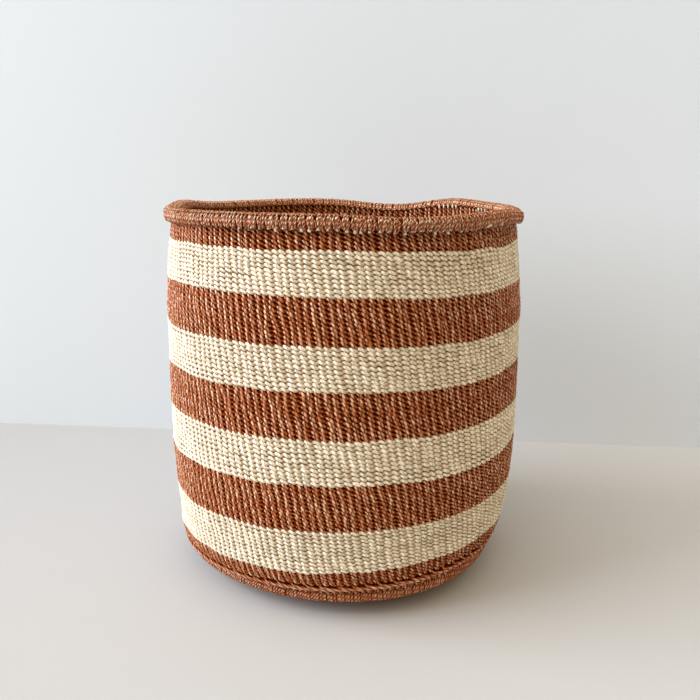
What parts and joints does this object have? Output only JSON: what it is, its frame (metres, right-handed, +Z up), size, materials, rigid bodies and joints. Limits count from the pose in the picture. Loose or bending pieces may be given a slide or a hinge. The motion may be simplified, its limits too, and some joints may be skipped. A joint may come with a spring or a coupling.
{
  "type": "planter basket",
  "caption": "Round hand-twined sisal basket with horizontal terracotta and natural stripes and a whipped, turned-out rim; holds a plant pot.",
  "frame": {"origin": "middle of the flat underside, on the surface the basket stands on", "axes": "+Z up along the basket's axis; -Y is the side that faces the viewer; +X is the viewer's right"},
  "size_m": [0.2802, 0.2802, 0.2892],
  "materials": {
    "sisal_terracotta": "two-ply sisal cord dyed terracotta, matt with a slight fibre sheen",
    "sisal_natural": "two-ply undyed sisal cord, cream, matt with a slight fibre sheen"
  },
  "bodies": {
    "root": {"base_floor": "sisal_terracotta", "foot_roll": "sisal_terracotta", "corner_rows": "sisal_terracotta", "chain_ridge": "sisal_terracotta", "wall_stripe_1_terracotta": "sisal_terracotta", "wall_stripe_2_natural": "sisal_natural", "wall_stripe_3_terracotta": "sisal_terracotta", "wall_stripe_4_natural": "sisal_natural", "wall_stripe_5_terracotta": "sisal_terracotta", "wall_stripe_6_natural": "sisal_natural", "wall_stripe_7_terracotta": "sisal_terracotta", "wall_stripe_8_natural": "sisal_natural", "wall_stripe_9_terracotta": "sisal_terracotta", "rim_core": "sisal_natural", "rim_stitching": "sisal_terracotta", "warp_ends": "sisal_natural"}
  },
  "joints": []
}
